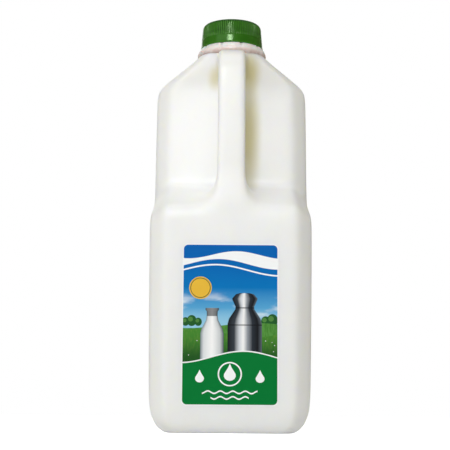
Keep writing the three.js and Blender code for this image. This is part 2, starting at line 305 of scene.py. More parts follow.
def start(name, add, **sizes):
    """Adds a primitive with nothing else selected and opens it for editing."""
    bpy.ops.object.select_all(action="DESELECT")
    add(**sizes)
    piece = bpy.context.object
    piece.name = name
    piece.data.name = name
    bpy.ops.object.mode_set(mode="EDIT")
    return piece


def apply_modifier(piece, name, kind, **settings):
    """Adds a modifier to the piece being edited, and applies it."""
    bpy.ops.object.mode_set(mode="OBJECT")
    modifier = piece.modifiers.new(name, kind)
    for key, value in settings.items():
        setattr(modifier, key, value)
    bpy.ops.object.modifier_apply(modifier=modifier.name)
    bpy.ops.object.mode_set(mode="EDIT")


def finish(piece, material, levels=0, angle=None):
    """Closes the edit, smooths the piece and hands it to the frame."""
    if not all(edge.is_manifold for edge in bmesh.from_edit_mesh(piece.data).edges):
        raise RuntimeError(f"{piece.name} has an open edge")
    select_all("SELECT")
    bpy.ops.mesh.normals_make_consistent(inside=False)
    if levels:
        apply_modifier(piece, "Smooth skin", "SUBSURF", levels=levels, render_levels=levels)
    bpy.ops.object.mode_set(mode="OBJECT")
    if angle is None:
        bpy.ops.object.shade_smooth()
    else:
        bpy.ops.object.shade_smooth_by_angle(angle=math.radians(angle))
    piece.data.materials.clear()
    piece.data.materials.append(material)
    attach(piece, "root")


def between(pairs, at):
    """The value at a place along a rising list of (place, value)."""
    if at <= pairs[0][0]:
        return pairs[0][1]
    for (low, first), (high, second) in zip(pairs, pairs[1:]):
        if at <= high:
            return first + (second - first) * (at - low) / (high - low)
    return pairs[-1][1]


def lay_out_block():
    """The block up to the ledge, cut into the columns, rows and levels that shape it."""
    scale(HALF_WIDTH, (BACK - FRONT) / 2, BLOCK_TOP / 2)
    move(y=(BACK + FRONT) / 2, z=BLOCK_TOP / 2)
    for column in COLUMNS:
        cut((column, 0, 0), (1, 0, 0))
        cut((-column, 0, 0), (1, 0, 0))
    for row in LEDGE[1:-1]:
        cut((0, row[0], 0), (0, 1, 0))
    for level in [height for height, inset in HEEL[1:]] + [*WALL_LEVELS, LOWER_LOOP, UPPER_LOOP]:
        cut((0, 0, level), (0, 0, 1))


def shape_ledge(jug):
    """Tilts the top of the block and the two loops under it, row by row."""
    for row, lower, upper, top in LEDGE:
        for level, height in ((BLOCK_TOP, top), (UPPER_LOOP, upper), (LOWER_LOOP, lower)):
            choose(jug, "VERT", lambda p: near(p.y, row) and near(p.z, level))
            move(z=height - level)


def raise_grip(jug):
    """Draws the block's back part up to the shoulder, and leaves it open there."""
    choose(jug, "FACE", lambda p: p.y > GRIP_FACE and p.z > GRIP_FOOT - 1)
    for level in GRIP_LEVELS:
        extrude(z=5)
        scale(1, 1, 0, (0, 0, level))
    bpy.ops.mesh.delete(type="FACE")


def round_corners(jug):
    """Pulls the corner points in to the middle of their chamfers."""
    for side in (-1, 1):

        def pull(depth, test, y=0, z=0):
            choose(
                jug, "VERT",
                lambda p: near(p.x, side * HALF_WIDTH) and near(p.y, depth) and test(p.z),
            )
            move(-side * CORNER_PULL, y, z)

        pull(BACK, lambda z: True, y=-CORNER_PULL)
        pull(GRIP_FACE, lambda z: z > GRIP_FOOT + 1, y=CORNER_PULL)
        pull(GRIP_FACE, lambda z: near(z, GRIP_FOOT), y=CORNER_PULL - 1, z=-GRIP_FOOT_DROP)
        for row, lower, upper, top in LEDGE[1:5]:
            pull(row, lambda z: near(z, top), z=-LEDGE_EDGE_DROP)
        pull(FRONT, lambda z: near(z, BLOCK_TOP), y=CORNER_PULL, z=-FRONT_EDGE_DROP)
        pull(FRONT, lambda z: True, y=CORNER_PULL)


def shape_walls(jug):
    """Brings each height of the side walls to its own width."""
    for height in sorted({round(p.z, 2) for index, p in points_of(jug, lambda p: True)}):
        choose(jug, "VERT", lambda p: near(p.z, height) and abs(p.x) > WALL_FROM)
        scale(between(WIDTHS, height) / HALF_WIDTH, 1, 1)


def shape_base(jug):
    """The soft heel, the standing ring and the push-up inside it."""
    middle = (FRONT + BACK) / 2
    half_depth = (BACK - FRONT) / 2
    half_width = WIDTHS[0][1]
    for height, inset in HEEL:
        choose(jug, "VERT", lambda p: near(p.z, height))
        scale(1 - inset / half_width, 1 - inset / half_depth, 1, (0, middle, height))
    choose(jug, "FACE", lambda p: near(p.z, 0))
    bpy.ops.mesh.dissolve_faces()
    last_height, last_inset = HEEL[0]
    for height, inset in BASE:
        extrude(z=height - last_height)
        across = (half_width - inset) / (half_width - last_inset)
        along = (half_depth - inset) / (half_depth - last_inset)
        scale(across, along, 1, (0, middle, height))
        last_height, last_inset = height, inset


def side_ring(jug, height, side):
    """The points of one side of a level ring, in order from the front to the back."""
    found = points_of(jug, lambda p: near(p.z, height) and p.x * side > 0)
    return sorted(found, key=lambda point: math.atan2(abs(point[1].x), -point[1].y))


def raise_shoulder(jug):
    """Draws the open top in and up, from the grip's section to the round neck."""
    height = GRIP_LEVELS[-1]
    square = {side: side_ring(jug, height, side) for side in (-1, 1)}
    for level, share in SHOULDER_RINGS:
        choose(jug, "EDGE", lambda p: near(p.z, height))
        extrude(z=level - height)
        height = level
        for side in (-1, 1):
            ring = side_ring(jug, level, side)
            for (index, now), (old, begun), turn in zip(ring, square[side], NECK_TURNS):
                angle = math.radians(turn)
                neck = Vector((side * math.sin(angle), -math.cos(angle))) * NECK_RADIUS
                offset = begun.xy.lerp(neck, share) - now.xy
                choose_points(jug, [index])
                move(offset.x, offset.y)


def close_finish(jug):
    """Takes the neck up inside the cap and closes it."""
    height, radius = SHOULDER_RINGS[-1][0], NECK_RADIUS
    choose(jug, "EDGE", lambda p: near(p.z, height))
    for level, next_radius in FINISH_RINGS:
        extrude(z=level - height)
        scale(next_radius / radius, next_radius / radius, 1)
        height, radius = level, next_radius
    bpy.ops.mesh.edge_face_add()
    bpy.ops.mesh.inset(thickness=2 * MM)


def raise_handle(jug):
    """Grows the handle out of the ledge, bends it back over the gap and joins it to the shoulder."""
    choose(
        jug, "FACE",
        lambda p: abs(p.x) < HANDLE_HALF and FRONT + 1 < p.y < HANDLE_BACK and BLOCK_TOP < p.z < GRIP_FOOT,
    )
    for outer, inner in HANDLE_SECTIONS:
        extrude(z=1)
        points = sorted(points_of(jug), key=lambda point: point[1].y)
        chosen = [index for index, place in points]
        for number, share in enumerate(SECTION_ROWS):
            row = points[number * SECTION_POINTS:(number + 1) * SECTION_POINTS]
            target = Vector(outer).lerp(Vector(inner), share)
            choose_points(jug, [index for index, place in row])
            move(y=target.x - row[0][1].y, z=target.y - row[0][1].z)
        choose_points(jug, chosen)
        bpy.ops.mesh.select_mode(type="FACE")
    bpy.ops.mesh.delete(type="FACE")
    low, high = HANDLE_HOLE
    choose(
        jug, "FACE",
        lambda p: abs(p.x) < HANDLE_HALF and low < p.z < high and HOLE_FRONT < p.y < GRIP_FACE,
    )
    bpy.ops.mesh.delete(type="FACE")
    bpy.ops.mesh.select_mode(type="EDGE")
    select_all("DESELECT")
    bpy.ops.mesh.select_non_manifold()
    bpy.ops.mesh.bridge_edge_loops()


def flare_handle_foot(jug):
    """Spreads the foot of the handle into the ledge."""
    for row, lower, upper, top in LEDGE[:4]:
        for side in (-1, 1):
            choose(
                jug, "VERT",
                lambda p: near(p.x, side * HANDLE_HALF) and near(p.y, row) and near(p.z, top),
            )
            move(side * FOOT_FLARE, z=FOOT_LIFT)
    row, top = LEDGE[3][0], LEDGE[3][3]
    choose(jug, "VERT", lambda p: abs(p.x) < HANDLE_HALF and near(p.y, row) and top - 1 < p.z < top + 3)
    move(y=FOOT_FLARE)


class JUG_OT_body(bpy.types.Operator):
    """Models the jug with its heel, ledge, handle and shoulder"""

    bl_idname = "milk_jug.body"
    bl_label = "Jug"

    def execute(self, context):
        settings = context.scene.milk_jug
        jug = start("jug_body", bpy.ops.mesh.primitive_cube_add, size=2 * MM)
        lay_out_block()
        shape_ledge(jug)
        raise_grip(jug)
        round_corners(jug)
        shape_walls(jug)
        shape_base(jug)
        raise_shoulder(jug)
        close_finish(jug)
        raise_handle(jug)
        flare_handle_foot(jug)
        finish(jug, milky_plastic(settings), settings.smoothing)
        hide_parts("jug")
        return {"FINISHED"}


def ring_up(profile, radius, height):
    """Extrudes the selected ring through (radius, height) steps, and returns the last step."""
    for next_radius, level in profile:
        extrude(z=level - height)
        scale(next_radius / radius, next_radius / radius, 1)
        radius, height = next_radius, level
    return radius, height


def start_turned(name, radius, height, points):
    """A flat disc to draw a turned piece up from."""
    piece = start(
        name, bpy.ops.mesh.primitive_circle_add, vertices=points, radius=radius * MM, fill_type="NGON"
    )
    select_all("SELECT")
    move(z=height)
    return piece


def sink(piece, rings, count, share, depth):
    """Sinks count gaps into rings of (radius, height), each a share of the way between two."""
    turn = 2 * math.pi / count
    for radius, height in rings:
        choose(
            piece, "VERT",
            lambda p: near(p.z, height) and (math.atan2(p.y, p.x) / turn + share / 2 + 0.01) % 1 < share,
        )
        scale(1 - depth / radius, 1 - depth / radius, 1)


class JUG_OT_neck_bead(bpy.types.Operator):
    """Models the bead that stands out round the neck under the cap"""

    bl_idname = "milk_jug.neck_bead"
    bl_label = "Neck bead"

    def execute(self, context):
        settings = context.scene.milk_jug
        radius, height = BEAD[0]
        bead = start_turned("neck_bead", radius, height, LUG_COUNT * POINTS_PER_LUG)
        ring_up(BEAD[1:], radius, height)
        sink(bead, BEAD[BEAD_LUGS_FROM:-1], LUG_COUNT, LUG_GAP_SHARE, LUG_GAP_DEPTH)
        finish(bead, bead_plastic(settings), angle=50)
        return {"FINISHED"}


class JUG_OT_cap(bpy.types.Operator):
    """Models the ribbed screw cap"""

    bl_idname = "milk_jug.cap"
    bl_label = "Cap"

    def execute(self, context):
        settings = context.scene.milk_jug
        cap = start_turned("screw_cap", *CAP_CEILING, settings.ribs * POINTS_PER_RIB)
        radius, height = ring_up(CAP_SKIRT, *CAP_CEILING)
        radius, height = ring_up(CAP_RIBS, radius, height)
        ring_up(CAP_EDGE, radius, height)
        bpy.ops.mesh.edge_face_add()
        depth = settings.rib_depth / MM
        sink(cap, CAP_RIBS + CAP_EDGE[:2], settings.ribs, RIB_GAP_SHARE, depth)
        sink(cap, CAP_EDGE[2:3], settings.ribs, RIB_GAP_SHARE, depth / 2)
        finish(cap, cap_plastic(settings), angle=40)
        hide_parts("cap")
        return {"FINISHED"}


def lay_on_jug(label):
    """Presses the flat sheet against the jug's face, and gives it its thickness."""
    apply_modifier(
        label, "Lie on the jug", "SHRINKWRAP", target=bpy.data.objects["jug_body"],
        wrap_method="PROJECT", use_project_y=True, use_positive_direction=True,
        use_negative_direction=True, offset=LABEL_FILM / 2,
    )
    select_all("SELECT")
    bpy.ops.mesh.normals_make_consistent(inside=False)
    apply_modifier(label, "Film", "SOLIDIFY", thickness=LABEL_FILM, offset=0)


class JUG_OT_label(bpy.types.Operator):
    """Models the label on the front"""

    bl_idname = "milk_jug.label"
    bl_label = "Label"

    def execute(self, context):
        settings = context.scene.milk_jug
        label = start("front_label", bpy.ops.mesh.primitive_plane_add, size=2 * MM)
        half = (LABEL_HIGH - LABEL_LOW) / 2 / MM
        middle = (LABEL_HIGH + LABEL_LOW) / 2 / MM
        bpy.ops.transform.rotate(value=math.pi / 2, orient_axis="X", center_override=(0, 0, 0))
        scale(half.x, 1, half.z)
        move(middle.x, LABEL_HIGH.y / MM, middle.z)
        bpy.ops.mesh.bevel(
            offset=settings.label_corner, offset_type="OFFSET", segments=8, affect="VERTICES"
        )
        for step in range(1, LABEL_ROWS):
            place = LABEL_LOW.lerp(LABEL_HIGH, step / LABEL_ROWS) / MM
            cut(place, (0, 0, 1))
            cut(place, (1, 0, 0))
        lay_on_jug(label)
        finish(label, label_print(settings), angle=40)
        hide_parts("label")
        return {"FINISHED"}


def ink(red, green, blue):
    """A colour given as on a screen, from 0 to 255, in the shader's linear values."""
    shares = [value / 255 for value in (red, green, blue)]
    return tuple(v / 12.92 if v <= 0.04045 else ((v + 0.055) / 1.055) ** 2.4 for v in shares)


def new_material(name):
    """An empty material, as its node tree and its one shader."""
    material = bpy.data.materials.new(name)
    material.use_nodes = True
    tree = material.node_tree
    return material, tree, tree.nodes["Principled BSDF"]


def feed(tree, socket, value):
    """Links a socket to an output, or sets it to a plain value or colour."""
    if isinstance(value, bpy.types.NodeSocket):
        tree.links.new(value, socket)
    elif socket.type == "RGBA":
        socket.default_value = (*value, 1)
    else:
        socket.default_value = value


def calculate(tree, operation, *values):
    node = tree.nodes.new("ShaderNodeMath")
    node.operation = operation
    for socket, value in zip(node.inputs, values):
        feed(tree, socket, value)
    return node.outputs["Value"]


def diagonal(tree, a, b):
    """The length of a line that goes a one way and b square to it."""
    squares = [calculate(tree, "POWER", side, 2) for side in (a, b)]
    return calculate(tree, "SQRT", calculate(tree, "ADD", *squares))


def paint(tree, below, colour, share):
    """One colour laid over another, by a share from 0 to 1."""
    node = tree.nodes.new("ShaderNodeMix")
    node.data_type = "RGBA"
    feed(tree, node.inputs["Factor"], share)
    feed(tree, node.inputs["A"], below)
    feed(tree, node.inputs["B"], colour)
    return node.outputs["Result"]


def ramp(tree, value, stops):
    """A value turned into a colour through (place, colour) stops."""
    node = tree.nodes.new("ShaderNodeValToRGB")
    elements = node.color_ramp.elements
    while len(elements) < len(stops):
        elements.new(0.5)
    for element, (place, colour) in zip(elements, stops):
        element.position = place
        element.color = (*colour, 1)
    feed(tree, node.inputs["Fac"], value)
    return node.outputs["Color"]


def spread(tree, value, low, high, to_low=0, to_high=1):
    """A value moved smoothly from one range to another, and held at its ends."""
    node = tree.nodes.new("ShaderNodeMapRange")
    node.interpolation_type = "SMOOTHSTEP"
    for name, number in (
        ("Value", value), ("From Min", low), ("From Max", high), ("To Min", to_low), ("To Max", to_high)
    ):
        feed(tree, node.inputs[name], number)
    return node.outputs["Result"]


def place_on(tree):
    """The place on the jug, in millimetres: its own coordinates, and each of the three alone."""
    coordinates = tree.nodes.new("ShaderNodeTexCoord")
    scaled = tree.nodes.new("ShaderNodeVectorMath")
    scaled.operation = "SCALE"
    scaled.inputs["Scale"].default_value = 1 / MM
    tree.links.new(coordinates.outputs["Object"], scaled.inputs["Vector"])
    parts = tree.nodes.new("ShaderNodeSeparateXYZ")
    tree.links.new(scaled.outputs["Vector"], parts.inputs["Vector"])
    return scaled.outputs["Vector"], parts.outputs["X"], parts.outputs["Y"], parts.outputs["Z"]


def grain(tree, place, size, detail=2, stretch=(1, 1, 1)):
    """Soft noise whose grains are about size millimetres, longer along the axes given a stretch."""
    mapping = tree.nodes.new("ShaderNodeMapping")
    mapping.inputs["Scale"].default_value = [1 / (size * s) for s in stretch]
    tree.links.new(place, mapping.inputs["Vector"])
    noise = tree.nodes.new("ShaderNodeTexNoise")
    noise.inputs["Scale"].default_value = 1
    noise.inputs["Detail"].default_value = detail
    tree.links.new(mapping.outputs["Vector"], noise.inputs["Vector"])
    return noise.outputs["Fac"]


def raise_surface(tree, shader, layers):
    """Bump from (height, millimetres) layers, one over the other."""
    normal = None
    for height, amount in layers:
        bump = tree.nodes.new("ShaderNodeBump")
        bump.inputs["Distance"].default_value = amount * MM
        tree.links.new(height, bump.inputs["Height"])
        if normal:
            tree.links.new(normal, bump.inputs["Normal"])
        normal = bump.outputs["Normal"]
    tree.links.new(normal, shader.inputs["Normal"])


def milky_plastic(settings):
    """Cloudy blow-moulded plastic with milk behind it: light goes in and comes out warmer. Painted shade
    darkens the shoulder, the pockets beside the handle's top and the handle's shadow on the grip's face;
    painted light whitens the ledge and the grip's face.
    """
    material, tree, shader = new_material("milky_plastic")
    place, across, deep, up = place_on(tree)
    cloud = grain(tree, place, 34, detail=3)
    warmth = spread(tree, cloud, 0.35, 0.75, 0, 0.35)
    colour = paint(tree, settings.plastic, settings.warm_plastic, warmth)
    # Painted shade: the shoulder is darker and warmer from these heights up.
    shoulder_shade = spread(tree, up, *SHOULDER_FADE, 0, 0.8)
    colour = paint(tree, colour, settings.painted_shoulder_shade, shoulder_shade)
    front = spread(tree, deep, *FRONT_FADE)
    behind_handle = calculate(tree, "MULTIPLY", front, spread(tree, deep, *BEHIND_HANDLE_FADE))
    # Painted light whitens the ledge and the grip's face; painted shade darkens the pockets and the
    # handle's shadow.
    for patches, patch_colour, part in (
        (PAINTED_LIGHT_PATCHES, settings.painted_light, front),
        (PAINTED_SHADE_PATCHES, settings.painted_shade, behind_handle),
    ):
        for middle, half_width, half_height, strength in patches:
            depth = oval(tree, across, up, middle, half_width, half_height)
            reach = min(half_width, half_height)
            share = spread(tree, depth, -0.2 * reach, 0.9 * reach, 0, strength)
            colour = paint(tree, colour, patch_colour, calculate(tree, "MULTIPLY", share, part))
    tree.links.new(colour, shader.inputs["Base Color"])
    shader.inputs["Subsurface Weight"].default_value = 0.35
    shader.inputs["Subsurface Radius"].default_value = (1, 0.85, 0.35)
    shader.inputs["Subsurface Scale"].default_value = 0.007
    shader.inputs["Specular IOR Level"].default_value = 0.42
    rubbed = grain(tree, place, 9, detail=3)
    feed(tree, shader.inputs["Roughness"], spread(tree, rubbed, 0.3, 0.7, 0.33, 0.46))
    raise_surface(tree, shader, ((grain(tree, place, 26, detail=1), 0.35), (grain(tree, place, 1.4), 0.02)))
    return material


def bead_plastic(settings):
    """The bead's plastic, clearer and pinker because no milk stands behind it, its lower edge darker with
    painted shade.
    """
    material, tree, shader = new_material("clear_bead")
    place, across, deep, up = place_on(tree)
    cloud = grain(tree, place, 5, detail=3)
    # Partly the bead's own pink, partly painted shade: the lower edge darker and pinker.
    edge = spread(tree, up, 237.6, 241, 0.9, 0)
    body = paint(tree, settings.bead, settings.bead_shade, edge)
    body = paint(tree, body, settings.plastic, spread(tree, cloud, 0.4, 0.75, 0, 0.4))
    tree.links.new(body, shader.inputs["Base Color"])
    shader.inputs["Subsurface Weight"].default_value = 0.75
    shader.inputs["Subsurface Radius"].default_value = (1, 0.6, 0.5)
    shader.inputs["Subsurface Scale"].default_value = 0.006
    feed(tree, shader.inputs["Roughness"], spread(tree, cloud, 0.3, 0.7, 0.22, 0.36))
    raise_surface(tree, shader, ((grain(tree, place, 3), 0.06), (grain(tree, place, 0.8), 0.015)))
    return material


def cap_plastic(settings):
    """Glossy injection-moulded green with paler clouds, a painted highlight on the ribs' crests and the
    rim, and painted shade in the duller grooves.
    """
    material, tree, shader = new_material("green_cap")
    place, across, deep, up = place_on(tree)
    cloud = grain(tree, place, 7, detail=4)
    # Painted highlight: the rim paler.
    rim = spread(tree, up, *RIM_FADE, 0.3, 0)
    body = paint(tree, settings.cap, settings.cap_pale_and_highlight, spread(tree, cloud, 0.35, 0.8, 0, 0.3))
    radius = diagonal(tree, across, deep)
    foot_radius, taper = CAP_TAPER
    wall = calculate(tree, "MULTIPLY_ADD", up, -taper, foot_radius + taper * CAP_BASE)
    # Painted highlight on the ribs' crests, painted shade in the grooves.
    ridge = spread(tree, calculate(tree, "SUBTRACT", radius, wall), *FLANK)
    ribbed = spread(tree, up, *RIBS_FADE)
    groove = calculate(tree, "MULTIPLY", calculate(tree, "SUBTRACT", 1, ridge), ribbed)
    crest_highlight = calculate(tree, "MULTIPLY", ridge, calculate(tree, "MULTIPLY", ribbed, 0.7))
    body = paint(tree, body, settings.cap_pale_and_highlight, crest_highlight)
    body = paint(tree, body, settings.cap_groove_shade, groove)
    feed(tree, shader.inputs["Base Color"], paint(tree, body, settings.cap_pale_and_highlight, rim))
    shader.inputs["Subsurface Weight"].default_value = 0.12
    shader.inputs["Subsurface Radius"].default_value = (0.4, 1, 0.3)
    shader.inputs["Subsurface Scale"].default_value = 0.0015
    shader.inputs["Specular IOR Level"].default_value = 0.52
    shader.inputs["Specular Tint"].default_value = (0.7, 1, 0.55, 1)
    polish = spread(tree, cloud, 0.3, 0.75, 0.1, 0.17)
    feed(tree, shader.inputs["Roughness"], calculate(tree, "MULTIPLY_ADD", groove, 0.45, polish))
    raise_surface(tree, shader, ((grain(tree, place, 2.2), 0.03), (grain(tree, place, 0.35), 0.012)))
    return material


def inked(tree, inside):
    """The share of ink where a shape's depth inside its edge, in millimetres, is given."""
    share = calculate(tree, "MULTIPLY_ADD", inside, 1 / INK_EDGE, 0.5)
    share.node.use_clamp = True
    return share


def stripe(tree, value, middle, half_width):
    """The depth inside a stripe that lies where a value is near a middle one."""
    away = calculate(tree, "ABSOLUTE", calculate(tree, "SUBTRACT", value, middle))
    return calculate(tree, "SUBTRACT", half_width, away)


def oval(tree, x, z, middle, half_width, half_height):
    """The depth inside an upright oval, negative outside it."""
    right = calculate(tree, "MULTIPLY", calculate(tree, "SUBTRACT", x, middle[0]), 1 / half_width)
    up = calculate(tree, "MULTIPLY", calculate(tree, "SUBTRACT", z, middle[1]), 1 / half_height)
    inside = calculate(tree, "SUBTRACT", 1, diagonal(tree, right, up))
    return calculate(tree, "MULTIPLY", inside, min(half_width, half_height))


def wave(tree, x, height, rise, length, shift=0):
    """A height that waves by a rise either way, a whole wave in each length across."""
    angle = calculate(tree, "MULTIPLY_ADD", x, 2 * math.pi / length, shift)
    return calculate(tree, "MULTIPLY_ADD", calculate(tree, "SINE", angle), rise, height)


def outline(tree, x, z, middle, outline_points):
    """A shape that is the same to the left and right, from (height, half width) points: the depth
    inside it, and the share of the way across it."""
    low, high = outline_points[0][0], outline_points[-1][0]
    share = calculate(tree, "MULTIPLY_ADD", z, 1 / (high - low), -(middle[1] + low) / (high - low))
    widest = max(width for height, width in outline_points)
    stops = [((height - low) / (high - low), (width / widest,) * 3) for height, width in outline_points]
    half_width = calculate(tree, "MULTIPLY", ramp(tree, share, stops), widest)
    beside = stripe(tree, x, middle[0], half_width)
    ends = calculate(
        tree, "MINIMUM", calculate(tree, "SUBTRACT", z, middle[1] + low),
        calculate(tree, "SUBTRACT", middle[1] + high, z),
    )
    turn = calculate(tree, "DIVIDE", calculate(tree, "SUBTRACT", x, middle[0]), half_width)
    return calculate(tree, "MINIMUM", beside, ends), calculate(tree, "MULTIPLY_ADD", turn, 0.5, 0.5)


def draw_sky(tree, settings, place, x, z):
    """Blue that pales to the horizon, with soft clouds, a broad and a thin white ribbon and a sun."""
    height = spread(tree, z, HORIZON, LABEL_HIGH.z / MM)
    picture = ramp(tree, height, (
        (0, ink(150, 205, 232)), (0.12, ink(86, 165, 214)), (0.45, ink(0, 118, 190)), (1, settings.sky),
    ))
    cloud = grain(tree, place, 13, detail=5, stretch=(1.8, 1, 0.7))
    low = spread(tree, z, HORIZON + 2, HORIZON + 9)
    high = spread(tree, z, CLOUDS_TOP, CLOUDS_TOP - CLOUDS_FADE)
    band = calculate(tree, "MULTIPLY", low, high)
    puffs = calculate(tree, "MULTIPLY", spread(tree, cloud, 0.5, 0.72), band)
    picture = paint(tree, picture, WHITE_INK, puffs)
    above = calculate(tree, "SUBTRACT", z, wave(tree, x, *RIBBON_FOOT))
    below = calculate(tree, "SUBTRACT", wave(tree, x, *RIBBON_TOP), z)
    picture = paint(tree, picture, WHITE_INK, inked(tree, calculate(tree, "MINIMUM", above, below)))
    thin = stripe(tree, z, wave(tree, x, *THIN_RIBBON), 0.45)
    picture = paint(tree, picture, WHITE_INK, inked(tree, thin))
    for wider, colour in zip((*SUN_RINGS, 0), (settings.gold, ink(60, 70, 60), settings.gold)):
        disc = oval(tree, x, z, SUN, SUN_RADIUS + wider, SUN_RADIUS + wider)
        picture = paint(tree, picture, colour, inked(tree, disc))
    return picture


def draw_field(tree, settings, place, x, z, picture):
    """Two rolling hills, the near one darker to the front."""
    blades = grain(tree, place, 0.9, detail=4, stretch=(1, 1, 3.5))
    far = paint(tree, ink(88, 150, 66), ink(70, 132, 52), spread(tree, blades, 0.35, 0.65))
    hill = calculate(tree, "SUBTRACT", wave(tree, x, *FAR_HILL), z)
    picture = paint(tree, picture, far, inked(tree, hill))
    light = paint(tree, settings.grass, ink(104, 150, 60), spread(tree, blades, 0.4, 0.7, 0, 0.6))
    deep = paint(tree, light, ink(34, 86, 34), spread(tree, z, HORIZON - 4, HORIZON - 20))
    hill = calculate(tree, "SUBTRACT", wave(tree, x, *NEAR_HILL), z)
    return paint(tree, picture, deep, inked(tree, hill))


def draw_trees(tree, x, z, picture):
    """A row of round trees along the far hill."""
    for across, size in TREES:
        crown = oval(tree, x, z, (across, HORIZON + size), size, size * 1.15)
        picture = paint(tree, picture, ink(38, 92, 44), inked(tree, crown))
        lit = oval(tree, x, z, (across - size / 4, HORIZON + size * 1.3), size / 2, size / 2)
        picture = paint(tree, picture, ink(84, 138, 66), inked(tree, lit))
    return picture


def draw_flowers(tree, place, z, picture):
    """White flowers scattered over the near field."""
    cells = tree.nodes.new("ShaderNodeTexVoronoi")
    cells.inputs["Scale"].default_value = 0.4
    tree.links.new(place, cells.inputs["Vector"])
    petals = calculate(tree, "MULTIPLY", calculate(tree, "SUBTRACT", 0.11, cells.outputs["Distance"]), 2.5)
    field = calculate(tree, "SUBTRACT", HORIZON - 8, z)
    return paint(tree, picture, WHITE_INK, inked(tree, calculate(tree, "MINIMUM", petals, field)))


def draw_churn(tree, x, z, picture):
    """A steel milk churn, dark at its sides, with a broad pale streak."""
    inside, turn = outline(tree, x, z, CHURN, (
        (0, 9.4), (1.2, 10), (23, 10), (26, 9.2), (31.5, 5.6), (33, 5.4), (37, 7.2), (37.8, 7.4),
        (38.6, 6.8), (40.4, 5.2), (41, 3),
    ))
    steel = ramp(tree, turn, (
        (0, ink(22, 26, 32)), (0.2, ink(58, 64, 72)), (0.34, ink(212, 216, 222)),
        (0.46, ink(250, 250, 250)), (0.58, ink(150, 156, 164)), (0.72, ink(46, 52, 60)),
        (0.88, ink(24, 26, 30)), (1, ink(90, 98, 108)),
    ))
    picture = paint(tree, picture, steel, inked(tree, inside))
    for height in CHURN_HOOPS:
        hoop = calculate(tree, "MINIMUM", stripe(tree, z, CHURN[1] + height, 0.35), inside)
        dark = calculate(tree, "MULTIPLY", inked(tree, hoop), 0.7)
        picture = paint(tree, picture, ink(20, 22, 26), dark)
    return picture


def draw_bottle(tree, x, z, picture):
    """A glass bottle of milk, dark at its empty neck."""
    inside, turn = outline(tree, x, z, BOTTLE, (
        (0, 6), (0.8, 6.8), (16.5, 6.8), (19, 6.2), (24, 3.6), (27, 3.1), (29.4, 3.2), (30, 3.9),
        (31.2, 3.9),
    ))
    milk = ramp(tree, turn, (
        (0, ink(120, 132, 140)), (0.14, ink(222, 226, 228)), (0.5, ink(255, 255, 255)),
        (0.84, ink(206, 210, 212)), (1, ink(74, 84, 92)),
    ))
    picture = paint(tree, picture, milk, inked(tree, inside))
    empty = calculate(tree, "MINIMUM", inside, calculate(tree, "SUBTRACT", z, BOTTLE[1] + 26.5))
    return paint(tree, picture, ink(40, 46, 52), calculate(tree, "MULTIPLY", inked(tree, empty), 0.75))


def draw_panel(tree, settings, x, z, picture):
    """The green panel across the foot, with a drop in a ring, two more beside it and two ripples."""
    top = wave(tree, x, *PANEL_EDGE)
    for edge, colour in ((calculate(tree, "ADD", top, 0.7), WHITE_INK), (top, settings.panel)):
        picture = paint(tree, picture, colour, inked(tree, calculate(tree, "SUBTRACT", edge, z)))
    disc = oval(tree, x, z, DROP_RING, DROP_RING_RADIUS, DROP_RING_RADIUS)
    picture = paint(tree, picture, WHITE_INK, inked(tree, stripe(tree, disc, 0, 0.4)))
    for middle, size in DROPS:
        drop, turn = outline(tree, x, z, middle, [(size * h, size * w) for h, w in DROP_OUTLINE])
        picture = paint(tree, picture, WHITE_INK, inked(tree, drop))
    for height, half_length in RIPPLES:
        line = stripe(tree, z, wave(tree, x, height, 0.7, 7.2), 0.42)
        ends = stripe(tree, x, 0, half_length)
        picture = paint(tree, picture, WHITE_INK, inked(tree, calculate(tree, "MINIMUM", line, ends)))
    return picture


def label_print(settings):
    """The printed film: a picture made of colour fields and simple shapes inside a white border."""
    material, tree, shader = new_material("label_print")
    place, x, deep, z = place_on(tree)
    picture = draw_sky(tree, settings, place, x, z)
    picture = draw_trees(tree, x, z, picture)
    picture = draw_field(tree, settings, place, x, z, picture)
    picture = draw_flowers(tree, place, z, picture)
    picture = draw_churn(tree, x, z, picture)
    picture = draw_bottle(tree, x, z, picture)
    picture = draw_panel(tree, settings, x, z, picture)
    middle = (LABEL_HIGH + LABEL_LOW) / 2 / MM
    half = (LABEL_HIGH - LABEL_LOW) / 2 / MM
    rounding = settings.label_corner / MM
    corner = rounding - LABEL_BORDER
    beyond = [
        calculate(
            tree, "MAXIMUM", 0,
            calculate(tree, "MULTIPLY", stripe(tree, along, centre, reach - rounding), -1),
        )
        for along, centre, reach in ((x, middle.x, half.x), (z, middle.z, half.z))
    ]
    inside = calculate(tree, "SUBTRACT", corner, diagonal(tree, *beyond))
    picture = paint(tree, WHITE_INK, picture, inked(tree, inside))
    tree.links.new(picture, shader.inputs["Base Color"])
    speckle = grain(tree, place, 0.6, detail=3)
    feed(tree, shader.inputs["Roughness"], spread(tree, speckle, 0.3, 0.7, 0.38, 0.5))
    shader.inputs["Specular IOR Level"].default_value = 0.08
    raise_surface(tree, shader, ((grain(tree, place, 18, detail=1), 0.1), (speckle, 0.008)))
    return material


def tint(name, description, default):
    """A colour that the user can change."""
    return FloatVectorProperty(
        name=name, description=description, subtype="COLOR", size=3, min=0, max=1, default=default
    )


